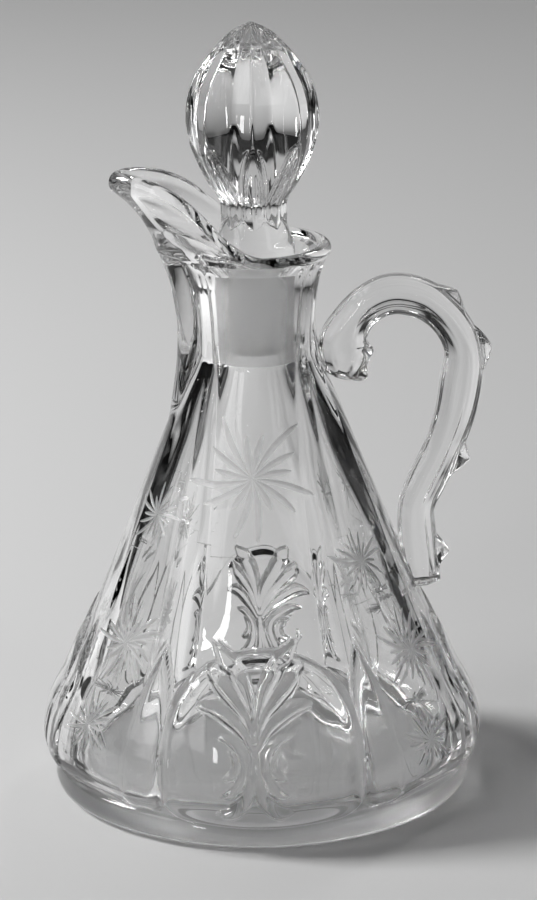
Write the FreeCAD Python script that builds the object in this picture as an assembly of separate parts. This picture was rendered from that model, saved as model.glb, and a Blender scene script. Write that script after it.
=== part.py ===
import FreeCAD, Part

import math
import os

# Pressed and cut glass oil cruet: one glass bottle with its spout and handle, and a loose ground
# glass stopper. Millimetres, +Z up. The bottle stands on z = 0 with its axis on Z, the spout
# points to -X, the handle to +X and the two wide ornamented panels face -Y and +Y.

# ---- driving dimensions -------------------------------------------------------------------
foot_radius = 46.0          # outside of the rounded foot ring
foot_flat_radius = 42.5     # flat ring that the bottle stands on
foot_height = 6.6           # top of the foot ring, in the groove under the lobes
groove_depth = 0.8          # how far that groove lies inside the foot ring
belly_radius = 47.8         # widest panel radius
belly_height = 13.4         # height of the widest place
neck_radius = 13.1          # narrowest place, outside
neck_height = 105.0         # height of the narrowest place
crease_rise = 15.8          # from there to the crease where the smooth rim starts
crease_flare = 3.0          # how far the neck widens up to the crease
rim_rise = 2.1              # from the crease to the top of the rim away from the spout
rim_flare = 0.5             # how far the rim stands out past the crease
lip_thickness = 3.2         # rounded edge of the rim and the spout

base_thickness = 9.0        # solid glass under the cavity
wall = 4.2                  # glass round the cavity
cavity_corner = 9.0         # radius between the cavity's floor and wall
bore_top_radius = 9.0       # ground bore where it opens into the mouth
bore_length = 20.6
bore_taper = 0.028          # radius lost for each mm of depth
bore_drop = 3.2             # from the crease down to the top of the bore
funnel_flare = 2.6          # how far the mouth has opened from the bore at the crease
funnel_rise = 1.2           # how far the turned funnel runs up past the crease

lobe_proud = 0.8            # how far lobes and petals stand out of the panels
lobe_gap = 0.3              # from the foot ring up to the underside of lobes and petals
lobe_rise = 35.3            # from there to the point of the wide lobes
wide_lobe = 22.0            # half widths of the three kinds
narrow_lobe = 7.2
petal_width = 4.5
petal_turn = 33.6           # degrees from the middle of a wide lobe to the petal beside it
side_petal_turn = 15.4      # degrees from the middle of a narrow lobe to the petal beside it

spout_reach = 13.9          # how far the spout's tip passes the rim
spout_lift = 16.2           # how far its lip rises over the rim
spout_spread = 27.4         # degrees, how quickly the reach dies away round the rim
spout_lift_end = 100.0      # degrees from the tip where the lip is level again
spout_rib_neck = 4.0        # rib under the spout, out of the neck
spout_rib_crease = 4.8      # the same at the crease
spout_rib_drop = 21.0       # from the narrowest place down to where the rib melts away

handle_low = 45.5           # height of the lower end of the handle's middle line
handle_over_neck = 5.6      # how far its highest point lies over the neck's narrowest place
handle_depth = 8.4          # across the handle, along Y
handle_bevel = 0.3          # share of each side that the corner facets take
thorn_depth = 6.7           # across the thorns, along Y

fit_clearance = 0.15        # between the plug and the bore, all round
plug_length = 19.0          # from the top of the bore down
plug_end_round = 2.4        # rounded unground end of the plug
waist_radius = 7.1
waist_rise = 8.4            # from the top of the bore up to the waist
waist_length = 5.2          # cylinder between the plug's shoulder and the bulb
bulb_radius = 14.3
bulb_low = 18.8             # from the waist up to the bulb's widest place
bulb_high = 21.0            # from there to the tip
petal_count = 8             # pointed petals round the bulb

# ---- sizes worked out from them -----------------------------------------------------------
groove_radius = foot_radius - groove_depth
crease_height = neck_height + crease_rise
crease_radius = neck_radius + crease_flare
rim_height = crease_height + rim_rise
rim_radius = crease_radius + rim_flare
bore_top_height = crease_height - bore_drop
bore_bottom_height = bore_top_height - bore_length
lobe_bottom = foot_height + lobe_gap
lobe_top = lobe_bottom + lobe_rise
spout_rib_bottom = neck_height - spout_rib_drop
handle_high = neck_height + handle_over_neck
plug_bottom_height = bore_top_height - plug_length
waist_low = bore_top_height + waist_rise
waist_high = waist_low + waist_length
bulb_widest = waist_high + bulb_low
stopper_top = bulb_widest + bulb_high

# ---- outlines -----------------------------------------------------------------------------
# Edges of the body's panels in degrees from the middle of the wide front panel, at heights given
# as shares of the way from the foot to the neck.
PANEL_HEIGHTS = (0.0, 0.37, 0.71, 0.93, 1.0, 1.2)
FRONT_EDGE = (21.5, 21.5, 25.0, 36.0, 43.0, 43.0)
STAR_START = (38.5, 38.5, 41.0, 48.0, 54.0, 54.0)
STAR_END = (68.5, 68.5, 69.5, 72.0, 74.0, 74.0)
FRONT_CROWN = (0.8, 0.8, 0.55, 0.3, 0.3, 0.3)    # 1 is a round panel, 0 a flat one, less hollow
FLUTE_CROWN = -1.3
STAR_CROWN = 0.2
SIDE_CROWN = 0.8
SPOUT_SIDE = 9              # which of the twelve panels carries the rib under the spout

# The handle's middle line: share of its height, distance out of the glass, width in its plane.
HANDLE_LINE = (
    (0.73, 2.6, 7.0), (0.775, 4.4, 10.0), (0.84, 5.2, 10.6), (0.91, 7.7, 8.8),
    (0.965, 10.8, 8.4),
    (1.0, 15.2, 8.8), (0.998, 19.9, 8.8), (0.966, 25.0, 8.4), (0.897, 29.4, 8.0),
    (0.806, 31.0, 8.5), (0.70, 28.0, 9.2), (0.585, 23.6, 8.8), (0.465, 17.8, 8.3),
    (0.365, 12.1, 8.4), (0.27, 7.0, 8.0), (0.175, 4.4, 8.6), (0.085, 2.6, 8.8),
    (0.0, 0.9, 8.0),
)
# Thorns on the handle's back: place along the middle line, how far the tip stands out of it,
# how far the tip leans along the line, and the half width of the foot.
HANDLE_THORNS = ((7.4, 6.0, -0.4, 3.4), (9.0, 6.2, 0.0, 3.6), (12.1, 6.7, -0.8, 3.8),
                 (15.8, 6.6, 0.4, 3.4))


def curve_at(stations, value):
    """Monotone cubic through (position, amount) stations: no overshoot between them."""
    xs = [s[0] for s in stations]
    ys = [s[1] for s in stations]
    if value <= xs[0]:
        return ys[0]
    if value >= xs[-1]:
        return ys[-1]
    steps = [(ys[i + 1] - ys[i]) / (xs[i + 1] - xs[i]) for i in range(len(xs) - 1)]
    slopes = [steps[0]]
    for a, b in zip(steps, steps[1:]):
        slopes.append(0.0 if a * b <= 0 else 2 * a * b / (a + b))
    slopes.append(steps[-1])
    i = max(k for k in range(len(xs) - 1) if xs[k] <= value)
    span = xs[i + 1] - xs[i]
    t = (value - xs[i]) / span
    return (ys[i] * (1 + 2 * t) * (1 - t) ** 2 + slopes[i] * span * t * (1 - t) ** 2
            + ys[i + 1] * t * t * (3 - 2 * t) + slopes[i + 1] * span * t * t * (t - 1))


def body_radius(z):
    """Outside radius of the bottle's panels: a swelling belly, a long slightly hollow cone and
    a neck that flares again to the crease under the rim."""
    cone = neck_height - belly_height
    drop = belly_radius - neck_radius
    return curve_at((
        (foot_height, groove_radius),
        (foot_height + 0.5 * (belly_height - foot_height), belly_radius - 0.5),
        (belly_height, belly_radius),
        (belly_height + 0.05 * cone, belly_radius - 0.022 * drop),
        (belly_height + 0.15 * cone, belly_radius - 0.145 * drop),
        (belly_height + 0.43 * cone, belly_radius - 0.455 * drop),
        (belly_height + 0.80 * cone, belly_radius - 0.85 * drop),
        (belly_height + 0.93 * cone, belly_radius - 0.975 * drop),
        (neck_height, neck_radius),
        (neck_height + 0.55 * (crease_height - neck_height), neck_radius + 0.8),
        (crease_height, crease_radius)), z)


def polar(radius, degrees, z):
    """Point at an angle counted from the front (-Y), positive towards the handle (+X)."""
    a = math.radians(degrees)
    return FreeCAD.Vector(radius * math.sin(a), -radius * math.cos(a), z)


def turned(shape, degrees):
    copy = shape.copy()
    copy.rotate(FreeCAD.Vector(0, 0, 0), FreeCAD.Vector(0, 0, 1), degrees)
    return copy


def panel_section(corners, crowns, bulges, z):
    """Closed wire of one arc for each panel. A corner is (angle, radius). A crown of 1 keeps the
    arc on the circle through its two corners, 0 makes it flat and a bulge moves it further."""
    edges = []
    for k, (angle, radius) in enumerate(corners):
        next_angle, next_radius = corners[(k + 1) % len(corners)]
        half = ((next_angle - angle) % 360) / 2
        chord = (radius + next_radius) / 2 * math.cos(math.radians(half))
        full = (radius + next_radius) / 2
        middle = chord + crowns[k] * (full - chord) + bulges[k]
        edges.append(Part.Arc(polar(radius, angle, z), polar(middle, angle + half, z),
                              polar(next_radius, next_angle, z)).toShape())
    return Part.Wire(edges)


# ---- bottle -------------------------------------------------------------------------------
def body_section(z):
    """Twelve panels: two wide ones front and back, two sides, and between them a hollow flute
    and a star panel four times over. The side under the spout swells into a rib."""
    share = (z - foot_height) / (neck_height - foot_height)
    edge, start, end, front = (curve_at(list(zip(PANEL_HEIGHTS, row)), share)
                               for row in (FRONT_EDGE, STAR_START, STAR_END, FRONT_CROWN))
    half_turn = (-edge, edge, start, end, 180 - end, 180 - start)
    angles = [turn + angle for turn in (0, 180) for angle in half_turn]
    crowns = (front, FLUTE_CROWN, STAR_CROWN, SIDE_CROWN, STAR_CROWN, FLUTE_CROWN) * 2
    rib = curve_at(((spout_rib_bottom, 0.0), (neck_height - 7.0, 0.8 * spout_rib_neck),
                    (neck_height, spout_rib_neck), (crease_height, spout_rib_crease)), z)
    bulges = [rib if k == SPOUT_SIDE else 0.0 for k in range(len(angles))]
    radius = body_radius(z)
    return panel_section([(a, radius) for a in angles], crowns, bulges, z)


def body_shell():
    heights = [foot_height, foot_height + 0.5 * (belly_height - foot_height), belly_height]
    heights += [belly_height + share * (neck_height - belly_height)
                for share in (0.08, 0.2, 0.35, 0.5, 0.65, 0.77, 0.86, 0.93)]
    heights += [neck_height, neck_height + 0.5 * (crease_height - neck_height), crease_height]
    return Part.makeLoft([body_section(z) for z in heights], True, False)


def foot_ring():
    """Thick rounded ring, revolved: flat underneath, a full round outside and the groove. The
    lower arc leaves the flat without a corner."""
    middle = foot_height * 0.47
    side = [FreeCAD.Vector(foot_flat_radius, 0, 0), FreeCAD.Vector(foot_radius, 0, middle),
            FreeCAD.Vector(groove_radius - 0.3, 0, foot_height + 0.2)]
    out = foot_radius - foot_flat_radius
    round_radius = (out ** 2 + middle ** 2) / (2 * middle)
    half_turn = math.atan2(out, round_radius - middle) / 2
    low = FreeCAD.Vector(foot_flat_radius + round_radius * math.sin(half_turn), 0,
                         round_radius * (1 - math.cos(half_turn)))
    high = FreeCAD.Vector(foot_radius - 0.1, 0, 0.5 * (middle + side[2].z))
    edges = [Part.makeLine(FreeCAD.Vector(0, 0, 0), side[0]),
             Part.Arc(side[0], low, side[1]).toShape(),
             Part.Arc(side[1], high, side[2]).toShape(),
             Part.makeLine(side[2], FreeCAD.Vector(0, 0, side[2].z)),
             Part.makeLine(FreeCAD.Vector(0, 0, side[2].z), FreeCAD.Vector(0, 0, 0))]
    return Part.Face(Part.Wire(edges)).revolve(FreeCAD.Vector(0, 0, 0),
                                               FreeCAD.Vector(0, 0, 1), 360)


def envelope(proud, top):
    """The body's silhouette, standing out by proud, as one revolved solid up to a height."""
    count = 12
    heights = [foot_height - 0.4 + (top - foot_height + 0.4) * k / count
               for k in range(count + 1)]
    line = [FreeCAD.Vector(body_radius(max(z, foot_height)) + proud, 0, z) for z in heights]
    curve = Part.BSplineCurve()
    curve.interpolate(line)
    low = FreeCAD.Vector(0, 0, heights[0])
    high = FreeCAD.Vector(0, 0, heights[-1])
    wire = Part.Wire([Part.makeLine(low, line[0]), curve.toShape(),
                      Part.makeLine(line[-1], high), Part.makeLine(high, low)])
    return Part.Face(wire).revolve(FreeCAD.Vector(0, 0, 0), FreeCAD.Vector(0, 0, 1), 360)


def arch_prism(half_width, shoulder, apex, corner):
    """Radial prism of an arch: flat foot with round corners, upright sides and two arcs that
    meet in the apex."""
    def at(x, z):
        return FreeCAD.Vector(x, -belly_radius * 1.2, z)

    low = lobe_bottom
    cut = corner * (1 - math.sqrt(0.5))
    edges = [Part.makeLine(at(corner - half_width, low), at(half_width - corner, low))]
    for side in (1, -1):
        edges += [Part.Arc(at(side * (half_width - corner), low),
                           at(side * (half_width - cut), low + cut),
                           at(side * half_width, low + corner)).toShape(),
                  Part.makeLine(at(side * half_width, low + corner),
                                at(side * half_width, shoulder)),
                  Part.Arc(at(side * half_width, shoulder),
                           at(side * half_width * 0.72, shoulder + 0.56 * (apex - shoulder)),
                           at(0, apex)).toShape()]
    outline = Part.Wire(Part.sortEdges(edges)[0])
    return Part.Face(outline).extrude(FreeCAD.Vector(0, belly_radius * 0.6, 0))


def lobes():
    """Raised round lobes and pointed petals all round the belly, cut from the envelope."""
    skin = envelope(lobe_proud, lobe_top + 1.5)
    wide = arch_prism(wide_lobe, lobe_bottom + 0.38 * lobe_rise, lobe_top, 0.23 * wide_lobe)
    petal = arch_prism(petal_width, lobe_bottom + 0.44 * lobe_rise, lobe_top - 1.0,
                       0.7 * petal_width)
    narrow = arch_prism(narrow_lobe, lobe_bottom + 0.44 * lobe_rise, lobe_top - 3.5,
                        0.5 * narrow_lobe)
    placed = [(wide, 0), (wide, 180), (narrow, 90), (narrow, 270)]
    for side in (-1, 1):
        placed += [(petal, base + side * petal_turn) for base in (0, 180)]
        placed += [(petal, base + side * side_petal_turn) for base in (90, 270)]
    return [turned(prism, angle).common(skin) for prism, angle in placed]


def spout_share(beta):
    return math.exp(-(abs(beta) / spout_spread) ** 1.35)


def lip_lift(beta):
    if abs(beta) >= spout_lift_end:
        return 0.0
    return spout_lift * math.cos(math.pi / 2 * abs(beta) / spout_lift_end) ** 2


def mouth_section(beta):
    """Cross-section of the rim and spout wall at beta degrees from the spout's tip: outside from
    the crease to the lip, a round lip, and the funnel back down to the bore."""
    share = spout_share(beta)
    lift = lip_lift(beta)
    out = rim_radius + spout_reach * share
    top = rim_height + lift
    half = lip_thickness / 2
    crease = crease_radius + 0.1 + spout_rib_crease * share
    inner = bore_top_radius + funnel_flare / 2
    lean = 0.25 + 0.55 * share
    lip_out = (out, top - half * (1 + lean))
    lip_top = (out - half * (1 - 0.2 * share), top)
    lip_in = (out - lip_thickness * 0.95, top - half * 0.9)
    outside = ((crease + lip_out[0]) / 2 - 0.10 * (lip_out[0] - crease) - 0.2 * share * half,
               (crease_height + lip_out[1]) / 2 + 0.04 * lift)
    funnel = ((inner + lip_in[0]) / 2 + 0.06 * lift, (crease_height + lip_in[1]) / 2 - 0.09 * lift)

    def at(pair):
        return polar(pair[0], 270 + beta, pair[1])

    def spline(pairs):
        curve = Part.BSplineCurve()
        curve.interpolate([at(p) for p in pairs])
        return curve.toShape()

    low_out, low_in = (crease, crease_height), (inner, crease_height)
    return Part.Wire([spline((low_out, outside, lip_out)),
                      Part.Arc(at(lip_out), at(lip_top), at(lip_in)).toShape(),
                      spline((lip_in, funnel, low_in)),
                      Part.makeLine(at(low_in), at(low_out))])


def mouth_wall():
    """Rim and spout as two mirrored halves, lofted round the axis through the cross-sections."""
    stations = (0, 7, 15, 24, 35, 48, 62, 78, 95, 115, 138, 160, 180)
    half = Part.makeLoft([mouth_section(beta) for beta in stations], True, False)
    other = half.mirror(FreeCAD.Vector(0, 0, 0), FreeCAD.Vector(0, 1, 0))
    return half.fuse(other)


def cavity():
    """The hollow inside: rounded floor, walls a wall's thickness inside the panels, the ground
    bore and the funnel that opens it into the mouth."""
    low = base_thickness
    wall_low = belly_height + 8.0
    wall_high = bore_bottom_height - 7.0
    side = [wall_low + share * (wall_high - wall_low) for share in (0.0, 0.2, 0.45, 0.71, 1.0)]
    wall_line = [FreeCAD.Vector(body_radius(z) - wall, 0, z) for z in side]
    bore_low = bore_top_radius - bore_taper * (bore_top_height - bore_bottom_height)
    floor_corner = FreeCAD.Vector(body_radius(belly_height) - wall - cavity_corner, 0, low)
    bend = FreeCAD.Vector(floor_corner.x + 0.72 * cavity_corner, 0, low + 0.26 * cavity_corner)
    wall_curve = Part.BSplineCurve()
    wall_curve.interpolate(wall_line + [FreeCAD.Vector(bore_low, 0, bore_bottom_height)])
    points = [FreeCAD.Vector(bore_low, 0, bore_bottom_height),
              FreeCAD.Vector(bore_top_radius, 0, bore_top_height),
              FreeCAD.Vector(bore_top_radius + funnel_flare, 0, crease_height),
              FreeCAD.Vector(bore_top_radius + 1.3 * funnel_flare, 0,
                             crease_height + funnel_rise),
              FreeCAD.Vector(0, 0, crease_height + funnel_rise),
              FreeCAD.Vector(0, 0, low), floor_corner]
    edges = [wall_curve.toShape()]
    edges += [Part.makeLine(a, b) for a, b in zip(points, points[1:])]
    edges.append(Part.Arc(floor_corner, bend, wall_line[0]).toShape())
    return Part.Face(Part.Wire(edges)).revolve(FreeCAD.Vector(0, 0, 0),
                                               FreeCAD.Vector(0, 0, 1), 360)


def handle_points():
    """Middle line of the handle in the XZ plane with its width at each point."""
    points = []
    for share, out, width in HANDLE_LINE:
        z = handle_low + share * (handle_high - handle_low)
        points.append((FreeCAD.Vector(body_radius(z) + out, 0, z), width))
    return points


def handle_frame(points, place):
    """Point, outward normal and direction of the middle line at a place counted in points."""
    last = len(points) - 1
    k = min(int(place), last - 1)
    t = place - k
    here = points[k][0] * (1 - t) + points[k + 1][0] * t
    before = points[max(k - (0 if t > 0.5 else 1), 0)][0]
    after = points[min(k + (2 if t > 0.5 else 1), last)][0]
    along = (after - before).normalize()
    return here, FreeCAD.Vector(-along.z, 0, along.x), along


def handle_section(centre, normal, width):
    """Octagon: the handle's flat sides with a facet on each corner."""
    w, d = width / 2, handle_depth / 2
    cut = handle_bevel * min(width, handle_depth)
    across = FreeCAD.Vector(0, 1, 0)
    corners = [(w, d - cut), (w - cut, d), (cut - w, d), (-w, d - cut),
               (-w, cut - d), (cut - w, -d), (w - cut, -d), (w, cut - d)]
    ring = [centre + normal * a + across * b for a, b in corners]
    return Part.makePolygon(ring + ring[:1])


def handle():
    """Faceted scroll handle with thorns on its back."""
    points = handle_points()
    sections = []
    for k, (centre, width) in enumerate(points):
        normal = handle_frame(points, float(k))[1]
        sections.append(handle_section(centre, normal, width))
    solid = Part.makeLoft(sections, True, False)
    scroll, width = points[0]
    end = Part.makeCylinder(width * 0.46, handle_depth * 0.86,
                            scroll - FreeCAD.Vector(0, handle_depth * 0.43, 0),
                            FreeCAD.Vector(0, 1, 0))
    extras = [end]
    for place, out, lean, foot in HANDLE_THORNS:
        here, normal, along = handle_frame(points, place)
        corners = [here - along * foot, here + normal * out + along * lean, here + along * foot]
        lift = FreeCAD.Vector(0, thorn_depth / 2, 0)
        outline = Part.makePolygon([c - lift for c in corners] + [corners[0] - lift])
        extras.append(Part.Face(outline).extrude(lift * 2))
    return solid, extras


def bottle():
    solid = body_shell().fuse([foot_ring()] + lobes())
    solid = solid.fuse(mouth_wall())
    grip, extras = handle()
    solid = solid.fuse(grip.fuse(extras))
    solid = solid.cut(cavity())
    return solid.removeSplitter()


# ---- stopper ------------------------------------------------------------------------------
def bulb_radius_at(z):
    """Bud-shaped bulb: from the waist out to the widest place and in to a blunt tip."""
    low = bulb_widest - waist_high
    high = stopper_top - bulb_widest
    grow = bulb_radius - waist_radius
    return curve_at((
        (waist_low, waist_radius), (waist_high, waist_radius + 0.05),
        (waist_high + 0.28 * low, waist_radius + 0.40 * grow),
        (waist_high + 0.55 * low, waist_radius + 0.74 * grow),
        (waist_high + 0.80 * low, waist_radius + 0.94 * grow),
        (bulb_widest, bulb_radius),
        (bulb_widest + 0.2 * high, bulb_radius * 0.975),
        (bulb_widest + 0.4 * high, bulb_radius * 0.885),
        (bulb_widest + 0.6 * high, bulb_radius * 0.70),
        (bulb_widest + 0.8 * high, bulb_radius * 0.46),
        (bulb_widest + 0.93 * high, bulb_radius * 0.24),
        (stopper_top - 0.2, bulb_radius * 0.05)), z)


def bulb_section(z):
    """Petals alternate with broad facets. A petal is a thin ridge above its point and widens
    down to the waist."""
    pitch = 360.0 / petal_count
    point = waist_high + 0.78 * (bulb_widest - waist_high)
    open_share = max(0.0, min(1.0, (point - z) / (point - waist_high)))
    half = 1.6 + 9.0 * math.sqrt(open_share)
    radius = bulb_radius_at(z)
    corners = []
    for k in range(petal_count):
        corners += [(k * pitch - half, radius), (k * pitch + half, radius)]
    crowns = [1.0, -0.15] * petal_count
    return panel_section(corners, crowns, [0.0] * len(corners), z)


def stopper():
    heights = [waist_low, waist_high]
    heights += [waist_high + s * (bulb_widest - waist_high) for s in (0.2, 0.4, 0.6, 0.8, 1.0)]
    heights += [bulb_widest + s * (stopper_top - bulb_widest)
                for s in (0.2, 0.4, 0.6, 0.8, 0.93)]
    heights.append(stopper_top - 0.2)
    bulb = Part.makeLoft([bulb_section(z) for z in heights], True, False)

    top = bore_top_height
    plug_top = bore_top_radius - fit_clearance
    plug_low = plug_top - bore_taper * (top - plug_bottom_height - plug_end_round)
    points = [FreeCAD.Vector(0, 0, waist_low + 0.3), FreeCAD.Vector(waist_radius - 0.2, 0,
                                                                    waist_low + 0.3),
              FreeCAD.Vector(plug_top - 0.35, 0, top + 3.0), FreeCAD.Vector(plug_top, 0, top),
              FreeCAD.Vector(plug_low, 0, plug_bottom_height + plug_end_round)]
    end = FreeCAD.Vector(plug_low - plug_end_round, 0, plug_bottom_height)
    bend = FreeCAD.Vector(plug_low - 0.3 * plug_end_round, 0,
                          plug_bottom_height + 0.3 * plug_end_round)
    edges = [Part.makeLine(a, b) for a, b in zip(points, points[1:])]
    edges += [Part.Arc(points[-1], bend, end).toShape(),
              Part.makeLine(end, FreeCAD.Vector(0, 0, plug_bottom_height)),
              Part.makeLine(FreeCAD.Vector(0, 0, plug_bottom_height), points[0])]
    plug = Part.Face(Part.Wire(edges)).revolve(FreeCAD.Vector(0, 0, 0),
                                               FreeCAD.Vector(0, 0, 1), 360)
    return bulb.fuse(plug).removeSplitter()


# ---- files --------------------------------------------------------------------------------
os.makedirs("parts", exist_ok=True)
for name, make in (("bottle", bottle), ("stopper", stopper)):
    shape = make()
    solids = shape.Solids
    print(name, "solids", len(solids), "valid", shape.isValid(), "volume",
          round(shape.Volume), "box", shape.BoundBox)
    if len(solids) == 1:
        shape = solids[0]
    shape.exportStep("parts/" + name + ".step")
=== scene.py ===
import math

import bpy
import numpy as np
from mathutils import Matrix, Vector


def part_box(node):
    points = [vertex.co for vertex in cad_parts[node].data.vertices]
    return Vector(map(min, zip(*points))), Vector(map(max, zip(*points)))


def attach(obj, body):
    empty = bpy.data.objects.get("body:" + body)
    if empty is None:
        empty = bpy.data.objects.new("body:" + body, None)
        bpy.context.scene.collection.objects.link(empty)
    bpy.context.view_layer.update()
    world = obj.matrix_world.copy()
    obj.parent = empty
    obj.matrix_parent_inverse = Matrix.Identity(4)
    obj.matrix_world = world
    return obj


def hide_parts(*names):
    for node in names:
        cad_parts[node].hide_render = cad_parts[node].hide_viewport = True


# Looks of a pressed and cut clear glass oil cruet with its ground glass stopper.
# Shapes are worked out in millimetres and turned into metres when the meshes are made.

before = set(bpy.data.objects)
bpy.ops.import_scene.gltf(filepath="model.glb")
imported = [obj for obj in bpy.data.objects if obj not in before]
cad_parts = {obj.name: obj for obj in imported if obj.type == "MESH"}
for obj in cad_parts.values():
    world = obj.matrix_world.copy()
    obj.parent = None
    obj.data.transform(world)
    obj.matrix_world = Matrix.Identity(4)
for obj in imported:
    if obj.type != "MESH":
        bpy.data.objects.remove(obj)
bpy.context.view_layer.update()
MM = 0.001

# ---- main sizes of the bottle, in mm ---------------------------------------------------------
# Each spread, and the end of the spout, is an angle in degrees, and the taper is a slope.
FOOT_RADIUS, FOOT_FLAT, FOOT_HEIGHT, GROOVE_RADIUS = 46.0, 42.5, 6.6, 45.2
BELLY_RADIUS, BELLY_HEIGHT = 47.8, 13.4
NECK_RADIUS, NECK_HEIGHT = 13.1, 105.0
CREASE_RADIUS, CREASE_HEIGHT = 16.1, 120.8
RIM_RADIUS, RIM_HEIGHT, LIP = 16.6, 122.9, 3.2
WALL, WALL_EVEN = 3.6, 58.0   # the wall is even up to the second value
FLOOR, FLOOR_CORNER, CORNER_WIDTH = 5.4, 7.5, 11.25
BORE_RADIUS, BORE_TOP, BORE_LOW, BORE_TAPER = 9.0, 117.6, 97.0, 0.028
LOBE_LOW, LOBE_TOP, LOBE_PROUD = 6.9, 42.2, 0.74
LOBE_SAG, SAG_SPREAD, SAG_TOP = 1.9, 35.0, 16.0
SPOUT_REACH, SPOUT_LIFT, SPOUT_SPREAD, SPOUT_END = 13.9, 16.2, 27.4, 100.0
RIB_NECK, RIB_CREASE, RIB_LOW = 4.0, 4.8, 84.0
HANDLE_LOW, HANDLE_HIGH, HANDLE_DEPTH = 45.5, 110.6, 8.4

# Angles of the panel edges from the front's middle, at shares of the height from foot to neck:
# the edge of the front panel, and the start and end of the panel with the small flowers.
PANEL_AT = (0.0, 0.37, 0.71, 0.93, 1.0, 1.2)
FRONT_EDGE = (21.5, 21.5, 25.0, 36.0, 43.0, 43.0)
STAR_START = (38.5, 38.5, 41.0, 48.0, 54.0, 54.0)
STAR_END = (68.5, 68.5, 69.5, 72.0, 74.0, 74.0)

# How far a panel's middle stands out, as a share of the way from its chord to the full round,
# hollow below nought: the front and back panels at the same shares of the height, then all
# twelve panels in turn, where nought stands for those two.
FRONT_CROWN = (0.8, 0.8, 0.55, 0.3, 0.3, 0.3)
CROWNS = (0.0, -1.3, 0.2, 0.8, 0.2, -1.3) * 2

# Wave of the hollow's wall: waves round the hollow, height in mm, twist for each mm up, start.
CAVITY_WAVES = ((3, 0.22, 0.11, 0.0), (7, 0.16, -0.07, 1.0), (12, 0.10, 0.19, 0.0))

# The handle's middle line, from its end at the neck round to its end on the body: share of the
# handle's height, distance out from the body and width in mm.
HANDLE_LINE = (
    (0.73, 2.6, 7.0), (0.775, 4.4, 10.0), (0.84, 5.2, 10.6), (0.91, 7.7, 8.8),
    (0.965, 10.8, 8.4), (1.0, 15.2, 8.8), (0.998, 19.9, 8.8), (0.966, 25.0, 8.4),
    (0.897, 29.4, 8.0), (0.806, 31.0, 8.5), (0.70, 28.0, 9.2), (0.585, 23.6, 8.8),
    (0.465, 17.8, 8.3), (0.365, 12.1, 8.4), (0.27, 7.0, 8.0), (0.175, 4.4, 8.6),
    (0.085, 2.6, 8.8), (0.0, 0.9, 8.0))
HANDLE_CORNER, HANDLE_EDGE = 0.33, 0.36   # share cut off each corner; half width of an edge, mm
HANDLE_PUFF = -0.05           # how round each facet of the handle is, hollow below nought
# Ridges of the scroll at the neck end: distance along, height and width in mm.
SCROLL = ((1.0, 1.7, 1.2), (4.6, 1.5, 1.1), (8.0, 0.9, 1.0))
HANDLE_BACK = 4.3             # distance of the plain back from the middle line, mm
# Thorns on the handle's back: number of the station, distance out, lean and half length in mm.
HANDLE_THORNS = ((7.4, 6.0, -0.4, 3.4), (9.0, 6.2, 0.0, 3.6), (12.1, 6.7, -0.8, 3.8),
                 (15.8, 6.6, 0.4, 3.4))

# ---- main sizes of the stopper ---------------------------------------------------------------
PLUG_LOW, STOPPER_TIP = (round(corner[2] / MM, 3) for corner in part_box("stopper"))
PLUG_EDGE, PLUG_GAP = 2.4, 0.15
WAIST_RADIUS, WAIST_LOW, WAIST_HIGH = 7.1, 126.0, 131.2
BULB_RADIUS, BULB_WIDEST, STOPPER_TOP = 14.3, 150.0, STOPPER_TIP + 0.2
PETALS, RIDGE_HALF, FACET_SAG = 8, 1.6, 0.25
PETAL_TIP, PETAL_HALF, PETAL_RISE = 146.3, 19.5, 0.55      # height, degrees, mm
INNER_TIP, INNER_HALF = 140.5, 10.5
PETAL_ROUND, PETAL_EDGE = 0.62, 0.55    # how blunt the petals' tips are, and their edge's width
PETAL_LOW = WAIST_HIGH - 0.6
OUTER_GROOVE, INNER_GROOVE = (0.45, 0.5), (0.55, 0.55)     # depth and width, mm
# The shank from the plug's top to the waist, as (height, radius).
SHANK = ((BORE_TOP, BORE_RADIUS - PLUG_GAP), (BORE_TOP + 4.9, BORE_RADIUS - 0.3),
         (WAIST_LOW - 1.4, 7.9), (WAIST_LOW + 1.6, 6.75), (WAIST_LOW + 3.5, 5.5))


def curve_at(stations, values):
    """Monotone cubic through (position, amount) stations, for a whole array of positions."""
    xs, ys = np.array([s[0] for s in stations], float), np.array([s[1] for s in stations], float)
    steps = np.diff(ys) / np.diff(xs)
    a, b = steps[:-1], steps[1:]
    inner = np.where(a * b <= 0, 0.0, 2 * a * b / np.where(a + b == 0, 1, a + b))
    slopes = np.concatenate([steps[:1], inner, steps[-1:]])
    v = np.clip(np.asarray(values, float), xs[0], xs[-1])
    i = np.clip(np.searchsorted(xs, v, side="right") - 1, 0, len(xs) - 2)
    span = xs[i + 1] - xs[i]
    t = (v - xs[i]) / span
    return (ys[i] * (1 + 2 * t) * (1 - t) ** 2 + slopes[i] * span * t * (1 - t) ** 2
            + ys[i + 1] * t * t * (3 - 2 * t) + slopes[i + 1] * span * t * t * (t - 1))


def smooth(low, high, values):
    """Smooth step of the values: 0 at low, 1 at high, level at both ends."""
    t = np.clip((np.asarray(values, float) - low) / (high - low), 0, 1)
    return t * t * (3 - 2 * t)


def turn_of(degrees):
    """The same angle between -180 and 180 degrees."""
    return (np.asarray(degrees, float) + 180.0) % 360.0 - 180.0


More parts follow.
